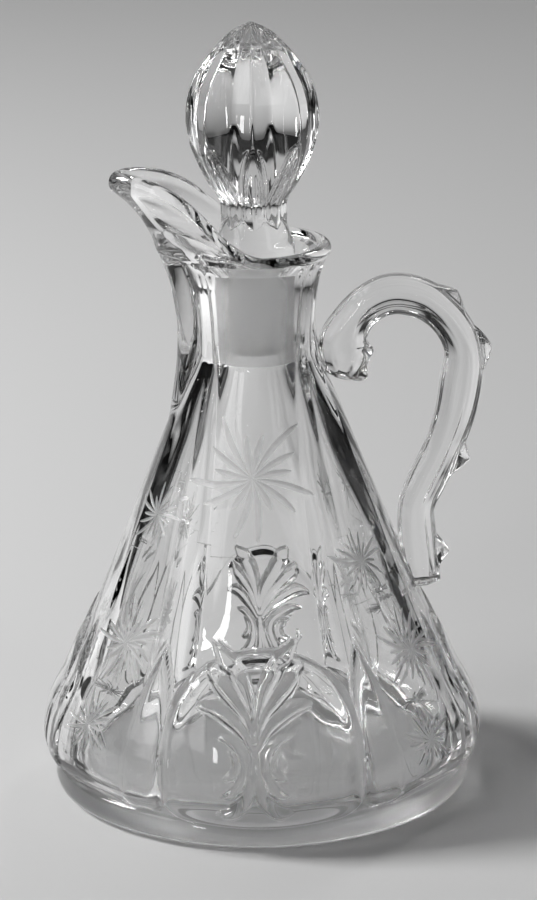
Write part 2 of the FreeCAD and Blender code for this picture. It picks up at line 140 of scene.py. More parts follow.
def body_radius(z):
    """Radius of the full round body at each height, from the groove over the foot to the crease
    under the rim: a monotone curve through the belly, the cone and the neck."""
    cone, drop = NECK_HEIGHT - BELLY_HEIGHT, BELLY_RADIUS - NECK_RADIUS
    return curve_at((
        (FOOT_HEIGHT, GROOVE_RADIUS),
        (FOOT_HEIGHT + 0.5 * (BELLY_HEIGHT - FOOT_HEIGHT), BELLY_RADIUS - 0.5),
        (BELLY_HEIGHT, BELLY_RADIUS),
        (BELLY_HEIGHT + 0.05 * cone, BELLY_RADIUS - 0.022 * drop),
        (BELLY_HEIGHT + 0.15 * cone, BELLY_RADIUS - 0.145 * drop),
        (BELLY_HEIGHT + 0.43 * cone, BELLY_RADIUS - 0.455 * drop),
        (BELLY_HEIGHT + 0.80 * cone, BELLY_RADIUS - 0.85 * drop),
        (BELLY_HEIGHT + 0.93 * cone, BELLY_RADIUS - 0.975 * drop),
        (NECK_HEIGHT, NECK_RADIUS),
        (NECK_HEIGHT + 0.55 * (CREASE_HEIGHT - NECK_HEIGHT), NECK_RADIUS + 0.8),
        (CREASE_HEIGHT, CREASE_RADIUS)), z)


def panel_edges(z):
    """Angles of the twelve panel edges at each height: rows of heights, twelve columns."""
    share = (np.atleast_1d(z) - FOOT_HEIGHT) / (NECK_HEIGHT - FOOT_HEIGHT)
    edge, start, end = (curve_at(list(zip(PANEL_AT, row)), share)
                        for row in (FRONT_EDGE, STAR_START, STAR_END))
    half = np.stack([-edge, edge, start, end, 180 - end, 180 - start], 1)
    return np.concatenate([half, half + 180], 1)


def arc_radius(across, half, radius, middle):
    """Distance from the axis, at an angle across from a panel's middle, of the circle through
    the panel's two corners and its middle."""
    c, d = radius * np.sin(np.radians(half)), radius * np.cos(np.radians(half))
    s = middle - d
    s = np.where(np.abs(s) < 1e-4 * c, 1e-4 * c, s)
    rho = (c * c + s * s) / (2 * s)
    centre = middle - rho
    a = np.radians(across)
    return centre * np.cos(a) + np.sign(rho) * np.sqrt(
        np.maximum(rho * rho - (centre * np.sin(a)) ** 2, 0))


def panel_surface(theta, z, panel):
    """Radius of the panel surface for arrays of angle, height and panel number."""
    edges = panel_edges(z.ravel())
    k = panel.ravel()
    rows = np.arange(len(k))
    first = edges[rows, k]
    after = edges[rows, (k + 1) % 12] + np.where(k == 11, 360.0, 0.0)
    half = (after - first) / 2
    middle_turn = first + half
    radius = body_radius(z.ravel())
    chord = radius * np.cos(np.radians(half))
    rib = curve_at(((RIB_LOW, 0.0), (NECK_HEIGHT - 7.0, 0.8 * RIB_NECK), (NECK_HEIGHT, RIB_NECK),
                    (CREASE_HEIGHT, RIB_CREASE)), z.ravel())
    share = (z.ravel() - FOOT_HEIGHT) / (NECK_HEIGHT - FOOT_HEIGHT)
    front = curve_at(list(zip(PANEL_AT, FRONT_CROWN)), share)
    crown = np.where(k % 6 == 0, front, np.array(CROWNS)[k])
    middle = chord + crown * (radius - chord) + np.where(k == 9, rib, 0.0)
    across = turn_of(theta.ravel() - middle_turn)
    return arc_radius(across, half, radius, middle).reshape(theta.shape)


def arch_distance(x, z, half_width, shoulder, apex, corner):
    """How far a point lies inside an arch (mm, negative outside): flat foot with round corners,
    upright sides and two arcs that meet in the apex."""
    ax = np.abs(x)
    rise = apex - shoulder
    lean = (rise * rise + half_width * half_width) / (2 * half_width)
    centre_x = half_width - lean
    side = np.where(z > shoulder,
                    lean - np.hypot(ax - centre_x, np.maximum(z - shoulder, 0)),
                    half_width - ax)
    foot = z - LOBE_LOW
    cx, cz = half_width - corner, LOBE_LOW + corner
    round_corner = corner - np.hypot(np.maximum(ax - cx, 0), np.maximum(cz - z, 0))
    low = np.minimum(side, foot)
    in_corner = (ax > cx) & (z < cz)
    return np.where(in_corner, round_corner, low)


FRONT_PETAL, SIDE_PETAL = 33.6, 15.4          # turn of a petal from its lobe's middle
# Each kind of lobe: turns, half width, share of the rise at the shoulder, drop of the tip under
# LOBE_TOP, and radius of the lower corners.
LOBES = (
    ((0.0, 180.0), 22.0, 0.38, 0.0, 5.0),
    ((90.0, 270.0), 7.2, 0.44, 3.5, 3.6),
    ([base + side * FRONT_PETAL for base in (0, 180) for side in (-1, 1)]
     + [base + side * SIDE_PETAL for base in (90, 270) for side in (-1, 1)], 4.5, 0.44, 1.0, 3.1),
)


def lobe_skin(theta, z):
    """How far each point lies inside the nearest lobe or petal, in mm."""
    radius = body_radius(np.maximum(z, FOOT_HEIGHT))
    best = np.full(theta.shape, -50.0)
    for turns, half_width, share, drop, corner in LOBES:
        shoulder = LOBE_LOW + share * (LOBE_TOP - LOBE_LOW)
        for turn in turns:
            across = turn_of(theta - turn)
            x = np.where(np.abs(across) < 80, radius * np.sin(np.radians(across)), 500.0)
            arch = arch_distance(x, z, half_width, shoulder, LOBE_TOP - drop, corner)
            best = np.maximum(best, arch)
    return best


def off_middle(theta):
    """Angle from the middle of the front or of the back, whichever is nearer."""
    return np.minimum(np.abs(turn_of(theta)), np.abs(turn_of(theta - 180)))


def lowered(theta, z):
    """Height after the lower edge of the front and back lobes has sagged in the middle."""
    sag = LOBE_SAG * np.cos(np.pi / 2 * np.clip(off_middle(theta) / SAG_SPREAD, 0, 1)) ** 2
    near = np.where(z < LOBE_LOW, np.clip(z / LOBE_LOW, 0, 1), smooth(SAG_TOP, LOBE_LOW, z))
    return z - sag * near


def dome(inside, width):
    """Quarter-round edge: 0 outside, rising to 1 at width inside."""
    t = np.clip(inside / width, 0, 1)
    return np.sqrt(np.maximum(1 - (1 - t) ** 2, 0))


def spline(values, at):
    """Smooth curve (Catmull-Rom) through rows of values at places counted in rows."""
    v = np.asarray(values, float)
    n = len(v)
    i = np.clip(np.floor(at).astype(int), 0, n - 2)
    t = (at - i)[:, None]
    p0, p1 = v[np.maximum(i - 1, 0)], v[i]
    p2, p3 = v[i + 1], v[np.minimum(i + 2, n - 1)]
    return 0.5 * (2 * p1 + (p2 - p0) * t + (2 * p0 - 5 * p1 + 4 * p2 - p3) * t ** 2
                  + (3 * p1 - p0 - 3 * p2 + p3) * t ** 3)


# Strokes of the palmette on the right of its middle line, as (across, height, half width) in mm.
# The other side mirrors them.
PALMETTE_TURN = -2.0
PALMETTE = (
    ((0.15, 26.0, 0.6), (1.4, 31.6, 1.3), (3.4, 36.1, 1.9), (5.8, 40.3, 1.7), (8.7, 43.9, 0.1)),
    ((0.3, 24.0, 0.6), (2.0, 28.8, 1.3), (4.8, 32.4, 1.8), (7.8, 35.6, 1.6), (9.9, 39.2, 0.1)),
    ((0.4, 22.0, 0.6), (2.4, 25.7, 1.2), (5.2, 28.4, 1.6), (8.8, 30.3, 1.4), (12.6, 30.6, 0.1)),
    ((8.0, 24.8, 0.1), (5.0, 24.1, 0.9), (2.9, 21.8, 1.2), (2.3, 19.0, 1.3), (3.1, 16.0, 1.4),
     (4.9, 13.6, 1.2), (7.6, 12.6, 0.1)),
    ((5.4, 22.4, 0.1), (4.3, 20.9, 0.7), (4.0, 19.0, 0.85), (4.8, 17.3, 0.9), (6.9, 16.3, 0.1)),
    ((0.25, 23.0, 0.5), (0.6, 17.5, 1.1), (1.4, 13.6, 1.5), (3.3, 10.4, 1.6), (5.4, 9.0, 1.2),
     (8.1, 9.1, 0.1)),
)
PALMETTE_HALF, PALMETTE_LOW, PALMETTE_HIGH = 32, 7, 46     # degrees, and heights in mm
# Height in mm of a leaf with a half width of 1 mm. The strokes from number LOWER_LEAVES on,
# counted from nought, stand higher by LOWER_RISE.
LEAF_RISE, LOWER_LEAVES, LOWER_RISE = 1.6, 3, 1.3


def stroke_height(x, z, stroke):
    """Height of one leaf: highest along its middle line, falling to nothing at its half width,
    taken as the largest over discs strung along the line."""
    line = spline(stroke, np.linspace(0, len(stroke) - 1, 14 * len(stroke)))
    best = np.zeros(x.shape)
    for cx, cz, w in line:
        if w < 0.08:
            continue
        d = np.hypot(x - cx, z - cz) / w
        best = np.maximum(best, LEAF_RISE * w ** 0.45 * np.maximum(1 - d ** 2, 0) ** 0.55)
    return best


def palmette(theta, z):
    """Relief of the leaves on the front and back lobes, in mm."""
    relief = np.zeros(theta.shape)
    for face in (0.0, 180.0):
        across = turn_of(theta - face - PALMETTE_TURN)
        near = (np.abs(across) < PALMETTE_HALF) & (z < PALMETTE_HIGH) & (z > PALMETTE_LOW)
        x = np.abs(body_radius(z[near]) * np.sin(np.radians(across[near])))
        total = np.zeros(x.shape)
        for number, stroke in enumerate(PALMETTE):
            more = LOWER_RISE if number >= LOWER_LEAVES else 1.0
            height = stroke_height(x, z[near], stroke) * more
            total = np.maximum(total, height)
        relief[near] = total
    return relief


def polar(theta, radius, z):
    """Points from their angle (from the front, positive to the right), radius and height."""
    a = np.radians(theta)
    return np.stack([radius * np.sin(a), -radius * np.cos(a), z], -1)


def mesh_piece(name, points, faces, material):
    """A smooth-shaded object with one material, from points in millimetres and faces."""
    mesh = bpy.data.meshes.new(name)
    mesh.from_pydata((np.asarray(points) * MM).tolist(), [], faces)
    mesh.validate()
    mesh.update()
    mesh.polygons.foreach_set("use_smooth", np.ones(len(mesh.polygons), bool))
    mesh.materials.append(material)
    piece = bpy.data.objects.new(name, mesh)
    bpy.context.scene.collection.objects.link(piece)
    return piece


def ring_faces(rows, columns, first=0):
    """Quads between rows of a closed grid whose first vertex has number first."""
    i, j = np.meshgrid(np.arange(rows - 1), np.arange(columns), indexing="ij")
    after = (j + 1) % columns
    quads = np.stack([i * columns + j, i * columns + after, (i + 1) * columns + after,
                      (i + 1) * columns + j], -1).reshape(-1, 4) + first
    return quads.tolist()


def fan(centre, ring, upward):
    """Triangles from a pole to a ring."""
    n = len(ring)
    if upward:
        return [[ring[i], ring[(i + 1) % n], centre] for i in range(n)]
    return [[ring[(i + 1) % n], ring[i], centre] for i in range(n)]


# ---- bottle ----------------------------------------------------------------------------------
EDGE_NEAR, EDGE_FAR = 0.2, 0.65                   # columns beside a panel's edge, mm from it
CROWDING = 0.45                                   # how much closer columns lie round a palmette


def columns_at(z, counts):
    """Angles of the columns at each height. They follow the panel edges, with two columns
    close to each side of an edge so that it is slightly rounded."""
    edges = panel_edges(z)
    radius = body_radius(z)
    near, far = np.degrees(EDGE_NEAR / radius), np.degrees(EDGE_FAR / radius)
    parts, panel = [], []
    for k in range(12):
        a = edges[:, k]
        b = edges[:, (k + 1) % 12] + (360 if k == 11 else 0)
        n = counts[k]
        t = np.arange(1, n + 1)[:, None] / (n + 1)
        t = t + (CROWDING * np.sin(2 * np.pi * t) / (2 * np.pi) if k % 6 == 0 else 0)
        inner = a + far + (b - a - 2 * far) * t
        parts.append(np.concatenate([[a + near, a + far], inner, [b - far, b - near]]).T)
        panel += [k] * (n + 4)
    return np.concatenate(parts, 1), np.array(panel)


def through(a, b, c, t):
    """Parabola through three points, run through by chord length, at the shares t."""
    first, second = np.hypot(*(b - a)), np.hypot(*(c - b))
    m = first / (first + second)
    t = t[:, None, None]
    return (a * (t - m) * (t - 1) / m + b * t * (t - 1) / (m * (m - 1))
            + c * t * (t - m) / (1 - m))


def round_over(a, b, c, count):
    """A count of points on the circle through three points, from the first to the last."""
    d = 2 * (a[0] * (b[1] - c[1]) + b[0] * (c[1] - a[1]) + c[0] * (a[1] - b[1]))
    sa, sb, sc = (p[0] ** 2 + p[1] ** 2 for p in (a, b, c))
    ux = (sa * (b[1] - c[1]) + sb * (c[1] - a[1]) + sc * (a[1] - b[1])) / d
    uy = (sa * (c[0] - b[0]) + sb * (a[0] - c[0]) + sc * (b[0] - a[0])) / d
    r = np.hypot(a[0] - ux, a[1] - uy)
    start = np.arctan2(a[1] - uy, a[0] - ux)
    end = np.arctan2(c[1] - uy, c[0] - ux)
    end = np.where(end < start, end + 2 * np.pi, end)
    t = np.linspace(0, 1, count)[:, None]
    turn = start + (end - start) * t
    return np.stack([ux + r * np.cos(turn), uy + r * np.sin(turn)], 1)


OUTSIDE_ROWS, LIP_ROWS, FUNNEL_ROWS = 18, 13, 18
LIP_SWELL = 0.55                                  # how much thicker the lip is at the spout's tip
LIP_LEAN = (0.25, 0.55)                           # lean of the lip: all round, more at the tip
SPOUT_BLUNT = 1.35                                # power of the fall from the tip to the sides
SEAT_OUT, SEAT_RISE = 2.6, 3.2                    # cone from the bore's top out to the funnel


def mouth_line(beta):
    """Rim and spout wall at beta degrees from the spout's tip, as arrays of (out, height): up
    the outside from the crease, over the round lip and down the funnel. The share is 1 at the
    tip of the spout and falls off evenly to both sides."""
    share = np.exp(-(np.abs(beta) / SPOUT_SPREAD) ** SPOUT_BLUNT)
    lift = np.where(np.abs(beta) < SPOUT_END,
                    SPOUT_LIFT * np.cos(np.pi / 2 * np.clip(beta / SPOUT_END, -1, 1)) ** 2, 0.0)
    out, top = RIM_RADIUS + SPOUT_REACH * share, RIM_HEIGHT + lift
    half = LIP / 2 * (1 + LIP_SWELL * share)
    crease = CREASE_RADIUS + 0.1 + RIB_CREASE * share
    inner = BORE_RADIUS + 1.3
    lean = LIP_LEAN[0] + LIP_LEAN[1] * share
    lip_out = np.stack([out, top - half * (1 + lean)])
    lip_top = np.stack([out - half * (1 - 0.2 * share), top])
    lip_in = np.stack([out - 1.9 * half, top - half * 0.9])
    low_out = np.stack([crease, np.full_like(out, CREASE_HEIGHT)])
    low_in = np.stack([np.full_like(out, inner), np.full_like(out, CREASE_HEIGHT)])
    outside = np.stack([(crease + lip_out[0]) / 2 - 0.10 * (lip_out[0] - crease)
                        - 0.2 * share * half, (CREASE_HEIGHT + lip_out[1]) / 2 + 0.04 * lift])
    funnel = np.stack([(inner + lip_in[0]) / 2 + 0.06 * lift,
                       (CREASE_HEIGHT + lip_in[1]) / 2 - 0.09 * lift])
    side = through(low_out, outside, lip_out, np.linspace(0, 1, OUTSIDE_ROWS))
    lip = round_over(lip_out, lip_top, lip_in, LIP_ROWS)[1:]
    inside = through(lip_in, funnel, low_in, np.linspace(0, 1, FUNNEL_ROWS))[1:-1]
    line = np.concatenate([side, lip, inside])
    cone = BORE_RADIUS + (line[:, 1] - BORE_TOP) * (SEAT_OUT / SEAT_RISE)
    last_lip = OUTSIDE_ROWS + LIP_ROWS - 2
    in_seat = (line[:, 1] < CREASE_HEIGHT + 1.2) & (np.arange(len(line))[:, None] > last_lip)
    line[:, 0] = np.where(in_seat, np.maximum(line[:, 0], cone), line[:, 0])
    return line


def foot_line():
    """The foot ring from the flat under it to the groove, as (radius, height): an arc up to the
    widest place, then a flatter quarter of an oval in to the groove."""
    middle, low_rows, high_rows = FOOT_HEIGHT * 0.47, 7, 8
    out = FOOT_RADIUS - FOOT_FLAT
    r = (out ** 2 + middle ** 2) / (2 * middle)
    reach = math.atan2(out, r - middle)
    t = np.linspace(0, 1, low_rows)[:, None] * reach
    low = np.hstack([FOOT_FLAT + r * np.sin(t), r * (1 - np.cos(t))])
    top = FOOT_HEIGHT + 0.1
    heights = np.linspace(middle, top, high_rows)[1:]
    up = (heights - middle) / (top - middle)
    high = np.stack([FOOT_RADIUS - 0.9 * (1 - np.sqrt(1 - 0.96 * up ** 2)), heights], 1)
    return np.concatenate([low, high])


def cavity_line():
    """The hollow from the top of the bore down to the floor's middle, as (radius, height): the
    wall under the bore is thick and thins evenly, and the floor is low with a round corner."""
    bore = np.linspace(BORE_TOP, BORE_LOW + 0.4, 7)
    rows = [np.stack([BORE_RADIUS - BORE_TAPER * (BORE_TOP - bore), bore], 1)]
    z = np.concatenate([[BORE_LOW - 0.4], np.linspace(BORE_LOW - 1.2, FLOOR + FLOOR_CORNER, 30)])
    end = BORE_RADIUS - BORE_TAPER * (BORE_TOP - BORE_LOW)
    thick = float(body_radius(BORE_LOW)) - end
    wall = WALL + (thick - WALL) * smooth(WALL_EVEN, BORE_LOW, z)
    rows.append(np.stack([body_radius(z) - wall, z], 1))
    t = np.linspace(0, np.pi / 2, 10)[1:, None]
    out = rows[-1][-1, 0]
    rows.append(np.hstack([out - CORNER_WIDTH * (1 - np.cos(t)),
                           FLOOR + FLOOR_CORNER * (1 - np.sin(t))]))
    r = np.linspace(rows[-1][-1, 0], 0, 8)[1:-1]
    rows.append(np.stack([r, np.full(r.shape, FLOOR)], 1))
    return np.concatenate(rows)


FINE_COLUMNS = (92, 26, 16, 48, 16, 26) * 2       # columns in each panel of the lower tier
COARSE_COLUMNS = tuple((n + 4) // 2 - 4 for n in FINE_COLUMNS)
DISH, DISH_HALF = 2.5, (30.0, 12.0)               # hollow round the palmette: mm, and degrees
EDGE_SOFT, TIP_SOFT, TIP_HALF = 2.2, 7.0, 22      # width of the lobes' round edges, mm, degrees
LEAF_TOP, TIER_TOP = 26.0, 43.7                   # heights where the rows lie further apart
LEAF_STEP, LOBE_STEP, PANEL_STEP = 0.31, 0.46, 2.3


def lower_tier():
    """Rows of points over the foot and the lobes. A lobe rises from the panel with a round edge,
    the front and back lobes are hollowed round the palmette, whose leaves stand on them, and
    nothing stands further out than LOBE_PROUD past the full round."""
    heights = np.concatenate([[FOOT_HEIGHT + 0.12], np.arange(LOBE_LOW, LEAF_TOP, LEAF_STEP),
                              np.arange(LEAF_TOP + 0.2, TIER_TOP, LOBE_STEP)])
    theta, panel = columns_at(heights, FINE_COLUMNS)
    z = np.repeat(heights[:, None], theta.shape[1], 1)
    base = panel_surface(theta, z, np.repeat(panel[None], len(heights), 0))
    inside, off = lobe_skin(theta, z), off_middle(theta)
    dish = DISH * smooth(*DISH_HALF, off) * smooth(0.3, 4.0, inside)
    outer = body_radius(z) + LOBE_PROUD
    soft = EDGE_SOFT + TIP_SOFT * smooth(33.0, 39.0, z) * (off < TIP_HALF)
    raised = base + (outer - base) * dome(inside, soft)
    real = lowered(theta, z)
    radius = np.where(inside > 0, np.maximum(raised, base) - dish, base) + palmette(theta, real)
    radius = np.minimum(radius, outer)
    columns = theta.shape[1]
    rows = [polar(theta[0], np.full(columns, r), np.zeros(columns))
            for r in np.linspace(0, FOOT_FLAT, 5)[1:-1]]
    rows += [polar(theta[0], np.full(columns, r), lowered(theta[0], np.full(columns, h)))
             for r, h in foot_line()]
    return np.array(rows + list(polar(theta, radius, real)))


def upper_tier():
    """Rows of points up the panels, over the lip and down the hollow, whose wall is a little
    wavy."""
    heights = np.concatenate([np.arange(TIER_TOP + 0.8, CREASE_HEIGHT - 0.4, PANEL_STEP),
                              [CREASE_HEIGHT - 0.12]])
    theta, panel = columns_at(heights, COARSE_COLUMNS)
    z = np.repeat(heights[:, None], theta.shape[1], 1)
    base = panel_surface(theta, z, np.repeat(panel[None], len(heights), 0))
    rows = list(polar(theta, base, z))
    turns = theta[-1]
    rows += [polar(turns, row[0], row[1]) for row in mouth_line(turn_of(turns - 270))]
    a = np.radians(turns)
    for r, h in cavity_line():
        wave = sum(high * np.sin(count * a + twist * h + start)
                   for count, high, twist, start in CAVITY_WAVES)
        wave = wave * smooth(94, 80, h) * smooth(4, 24, r)
        rows.append(polar(turns, r + wave, np.full(len(turns), h)))
    return np.array(rows)


def bottle_grid():
    """Vertices and faces of the bottle without its handle: from the middle of the underside out
    over the foot, up the panels, over the lip and down inside to the middle of the floor. The
    lower tier has twice as many columns as the upper one, and five-sided faces join the two."""
    lower, upper = lower_tier(), upper_tier()
    columns, half = lower.shape[1], upper.shape[1]
    points = np.concatenate([np.zeros((1, 3)), lower.reshape(-1, 3), upper.reshape(-1, 3),
                             [[0, 0, FLOOR]]])
    last_low, first = 1 + (len(lower) - 1) * columns, 1 + len(lower) * columns
    j = np.arange(half)
    joins = np.stack([last_low + 2 * j, last_low + 2 * j + 1, last_low + (2 * j + 2) % columns,
                      first + (j + 1) % half, first + j], 1)
    pole = len(points) - 1
    faces = fan(0, list(range(1, columns + 1)), False) + ring_faces(len(lower), columns, 1)
    faces += joins.tolist() + ring_faces(len(upper), half, first)
    return points, faces + fan(pole, list(range(pole - half, pole)), True)


def handle_ring(width, depth):
    """Section of the handle at each station, as (40, 2, stations): an octagon with narrow round
    edges and slightly hollow facets."""
    cut = HANDLE_CORNER * 2 * np.minimum(width, depth)
    deep = np.full_like(cut, depth)
    corner = [(width, deep - cut), (width - cut, deep), (cut - width, deep), (-width, deep - cut),
              (-width, cut - deep), (cut - width, -deep), (width - cut, -deep),
              (width, cut - deep)]
    ring = []
    for k in range(8):
        a, b = np.array(corner[k]), np.array(corner[(k + 1) % 8])
        length = np.hypot(*(b - a))
        near = HANDLE_EDGE / length
        side = np.stack([b[1] - a[1], a[0] - b[0]]) / length
        for t in (near, 1.7 * near, 0.5, 1 - 1.7 * near, 1 - near):
            ring.append(a * (1 - t) + b * t + side * HANDLE_PUFF * np.sin(np.pi * t) * length)
    return np.array(ring)


def thorn_push(at, step):
    """How far the thorns stand out of the handle's back, at stations numbered at and at the
    distances step along it: straight up to each tip and straight down again."""
    push = np.zeros(len(at))
    for place, out, lean, foot in HANDLE_THORNS:
        here = np.interp(place, at, step)
        peak = here + lean
        far = np.where(step > peak, here + foot, here - foot)
        rise = np.clip((step - far) / (peak - far), 0, 1)
        push = np.maximum(push, rise * (out - HANDLE_BACK))
    return push


def handle_grid():
    """Octagonal scroll handle swept along its middle line, with pointed thorns on its back and
    ridges on the inner side of its upper end."""
    stations = []
    for share, out, width in HANDLE_LINE:
        z = HANDLE_LOW + share * (HANDLE_HIGH - HANDLE_LOW)
        stations.append((float(body_radius(z)) + out, z, width))
    last = len(stations) - 1
    at = np.unique(np.concatenate(
        [np.linspace(0, last, 130)] + [np.linspace(t[0] - 0.55, t[0] + 0.55, 25)
                                       for t in HANDLE_THORNS]))
    at = at[np.concatenate([[True], np.diff(at) > 0.02])]
    line = spline(stations, at)
    along = np.gradient(line[:, :2], at, axis=0)
    along /= np.linalg.norm(along, axis=1)[:, None]
    normal = np.stack([-along[:, 1], along[:, 0]], 1)
    step = np.concatenate([[0], np.cumsum(np.linalg.norm(np.diff(line[:, :2], axis=0), axis=1))])
    width = line[:, 2] / 2
    ring = handle_ring(width, HANDLE_DEPTH / 2)
    a, b = ring[:, 0], ring[:, 1]
    push, back = thorn_push(at, step), smooth(0.55, 0.95, a / width)
    a = a + back * push
    b = b * (1 - 0.25 * back * np.minimum(push / 2.0, 1.0))
    curl = sum(out * np.exp(-((step - at_step) / wide) ** 2) for at_step, out, wide in SCROLL)
    a = a - smooth(0.3, 0.95, -a / width) * curl
    x, z = line[:, 0] + normal[:, 0] * a, line[:, 1] + normal[:, 1] * a
    grid = np.stack([x, b, z], -1).transpose(1, 0, 2)
    rows, columns = grid.shape[:2]
    points = np.concatenate([grid.reshape(-1, 3), [grid[0].mean(0)], [grid[-1].mean(0)]])
    n = rows * columns
    faces = ring_faces(rows, columns) + fan(n, list(range(columns)), False)
    return points, faces + fan(n + 1, list(range(n - columns, n)), True)


def outward(points, faces):
    """The faces of a closed mesh, turned round if its volume comes out negative."""
    total, p = 0.0, np.asarray(points)
    for face in faces:
        a = p[face[0]]
        for i in range(1, len(face) - 1):
            total += a @ np.cross(p[face[i]], p[face[i + 1]])
    if total < 0:
        return [list(reversed(f)) for f in faces]
    return faces


def closed_piece(name, grid, material):
    """A closed piece from its points and faces, with the faces turned outward."""
    points, faces = grid
    return mesh_piece(name, points, outward(points, faces), material)


def node(tree, kind, **sockets):
    """A shader node with plain values or links on its inputs, by input name or number."""
    made = tree.nodes.new(kind)
    for key, value in sockets.items():
        if key.startswith("set_"):
            setattr(made, key[4:], value)
            continue
        socket = made.inputs[int(key[1:])] if key[0] == "_" else made.inputs[key.replace("_", " ")]
        if isinstance(value, bpy.types.NodeSocket):
            tree.links.new(value, socket)
        else:
            socket.default_value = value
    return made


def math_node(tree, operation, *values):
    """The result of one step of arithmetic on values or links."""
    return node(tree, "ShaderNodeMath", set_operation=operation,
                **{f"_{i}": v for i, v in enumerate(values)}).outputs[0]


def ramp_between(tree, value, low, high, a=0.0, b=1.0):
    """Smooth step of a value from a at low to b at high."""
    return node(tree, "ShaderNodeMapRange", set_interpolation_type="SMOOTHSTEP", Value=value,
                From_Min=low, From_Max=high, To_Min=a, To_Max=b).outputs[0]


def between(tree, value, low, high, soft):
    """1 between two values and 0 outside them, with soft ends."""
    return math_node(tree, "MULTIPLY", ramp_between(tree, value, low - soft, low + soft),
                     ramp_between(tree, value, high - soft, high + soft, 1, 0))


RAYS, RAY_WIDTH = 16, 0.125                       # cuts of a flower, and how wide they are
RAY_BEND = 0.22                                   # bend of the cuts, radians at the rim
RAY_LENGTH, RAY_CHANGE, RAY_ORDER = 0.76, 0.24, 5   # usual length, its change, and its order


def flower_rays(tree, across, up, seed):
    """Lens-shaped cuts round a centre, of uneven length and a little bent: how far inside the
    nearest cut a point lies, as a share of the flower's size."""
    def m(operation, *values):
        """The result of one step of arithmetic in this material."""
        return math_node(tree, operation, *values)
    pitch = 2 * math.pi / RAYS
    reach = m("SQRT", m("ADD", m("MULTIPLY", across, across), m("MULTIPLY", up, up)))
    turn = m("ADD", m("ARCTAN2", up, across), m("ADD", m("MULTIPLY", reach, RAY_BEND), seed))
    step = m("MULTIPLY", turn, 1 / pitch)
    side = m("SUBTRACT", m("FRACT", step), 0.5)
    wave = m("ADD", m("MULTIPLY", m("FLOOR", step), RAY_ORDER * pitch), m("MULTIPLY", seed, 7.0))
    length = m("ADD", RAY_LENGTH, m("MULTIPLY", m("SINE", wave), RAY_CHANGE))
    lateral = m("ABSOLUTE", m("MULTIPLY", reach, m("SINE", m("MULTIPLY", side, pitch))))
    share = m("MINIMUM", m("DIVIDE", reach, length), 1.0)
    lens = m("MULTIPLY", m("POWER", share, 0.8), m("POWER", m("SUBTRACT", 1.0, share), 0.55))
    return m("SUBTRACT", m("MULTIPLY", lens, RAY_WIDTH), lateral)


GLASS_IOR = 1.51
GROUND_SIDES = (0.86, 0.93)                       # shares of the radius where the band fades
GROUND_ROUGH, UNDER_ROUGH, CUT_ROUGH = 0.7, 0.28, 0.5
WAVE_SCALE, WAVE_HEIGHT = 90.0, 0.10 * MM         # faint waves of the pressed surface
GRAIN_SCALE, GRAIN_HEIGHT = 6000.0, 0.03 * MM     # grain of the ground surfaces
CUT_DEPTH, CUT_SLOPE = 0.12 * MM, 0.05            # depth of the cuts, reached so far inside


def glass(name, ground_low, ground_high, ground_radius, flowers):
    """Clear pressed glass with faint waves and a ground band between two heights, within a
    radius, in metres. On the bottle the band fades out to the sides of the neck, the underside
    is slightly matt, and there are frosted flowers."""
    material = bpy.data.materials.new(name)
    material.use_nodes = True
    tree = material.node_tree

    def product(*values):
        """Values multiplied with each other."""
        return math_node(tree, "MULTIPLY", *values)

    shader = tree.nodes["Principled BSDF"]
    shader.inputs["Base Color"].default_value = (1, 1, 1, 1)
    shader.inputs["IOR"].default_value = GLASS_IOR
    shader.inputs["Transmission Weight"].default_value = 1.0
    place = node(tree, "ShaderNodeTexCoord").outputs["Object"]
    x, y, z = node(tree, "ShaderNodeSeparateXYZ", Vector=place).outputs
    radius = math_node(tree, "SQRT", math_node(tree, "ADD", product(x, x), product(y, y)))
    ground = product(between(tree, z, ground_low, ground_high, 0.2 * MM),
                     ramp_between(tree, radius, ground_radius, ground_radius + 0.4 * MM, 1, 0))
    if flowers:
        side = math_node(tree, "DIVIDE", math_node(tree, "ABSOLUTE", x), radius)
        ground = product(ground, ramp_between(tree, side, *GROUND_SIDES, 1, 0))
    wave = node(tree, "ShaderNodeTexNoise", Vector=place, Scale=WAVE_SCALE,
                Detail=1.0).outputs["Fac"]
    grain = node(tree, "ShaderNodeTexNoise", Vector=place, Scale=GRAIN_SCALE,
                 Detail=2.0).outputs["Fac"]
    height = math_node(tree, "ADD", product(wave, WAVE_HEIGHT),
                       product(product(grain, ground), GRAIN_HEIGHT))
    frost = product(ground, GROUND_ROUGH)
    if flowers:
        under = ramp_between(tree, z, 0.1 * MM, 0.4 * MM, UNDER_ROUGH, 0.0)
        frost = math_node(tree, "MAXIMUM", frost, under)
        local = node(tree, "ShaderNodeAttribute", set_attribute_name="flower").outputs["Vector"]
        across, up, seed = node(tree, "ShaderNodeSeparateXYZ", Vector=local).outputs
        inside = flower_rays(tree, across, up, seed)
        depth = node(tree, "ShaderNodeMapRange", Value=inside, From_Min=0.0, From_Max=CUT_SLOPE,
                     To_Min=0.0, To_Max=-CUT_DEPTH).outputs[0]
        height = math_node(tree, "ADD", height, depth)
        cut = ramp_between(tree, inside, -0.004, 0.010)
        frost = math_node(tree, "MAXIMUM", frost, product(cut, CUT_ROUGH))
    tree.links.new(frost, shader.inputs["Roughness"])
    bump = node(tree, "ShaderNodeBump", Strength=1.0, Distance=1.0, Height=height)
    tree.links.new(bump.outputs["Normal"], shader.inputs["Normal"])
    return material


CLEAR = glass("clear_glass", BORE_LOW * MM, BORE_TOP * MM, (BORE_RADIUS + 0.4) * MM, True)
STOPPER_GLASS = glass("stopper_glass", (PLUG_LOW + PLUG_EDGE + 0.2) * MM, (BORE_TOP + 0.1) * MM,
                      20.0 * MM, False)


